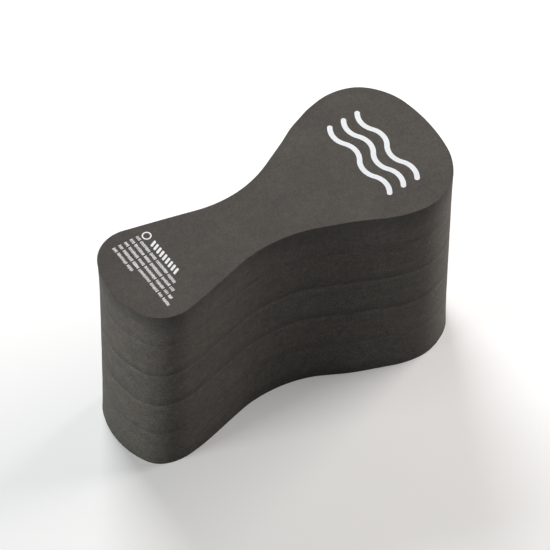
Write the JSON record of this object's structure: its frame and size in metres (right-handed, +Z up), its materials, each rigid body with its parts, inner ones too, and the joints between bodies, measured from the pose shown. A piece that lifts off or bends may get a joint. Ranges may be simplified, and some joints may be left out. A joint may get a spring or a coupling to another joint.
{
  "type": "pull buoy",
  "caption": "Hourglass leg float of bonded foam sheets, with a large and a small lobe and a narrow waist that sits between the thighs.",
  "frame": {"origin": "middle of the bottom face's bounding box, on the surface that the float rests on", "axes": "+X along the long axis towards the large lobe, +Y across the waist, from thigh to thigh, +Z up through the stack of sheets"},
  "size_m": [0.237, 0.1094, 0.1501],
  "materials": {
    "foam_dark": "closed-cell EVA foam, charcoal grey, matt with a fine cut-cell grain",
    "foam_light": "closed-cell EVA foam from another sheet, very slightly lighter charcoal grey, matt",
    "glue": "dried contact adhesive, satin, a little lighter than the foam",
    "ink": "white screen-printing ink, matt to satin"
  },
  "bodies": {
    "root": {"bottom_foam_layer": "foam_dark", "lower_foam_layer": "foam_light", "middle_foam_layer": "foam_dark", "upper_foam_layer": "foam_light", "top_foam_layer": "foam_dark", "glue_film_1": "glue", "glue_film_2": "glue", "glue_film_3": "glue", "glue_film_4": "glue", "printed_wave_mark": "ink", "printed_notice_lines": "ink"}
  },
  "joints": []
}
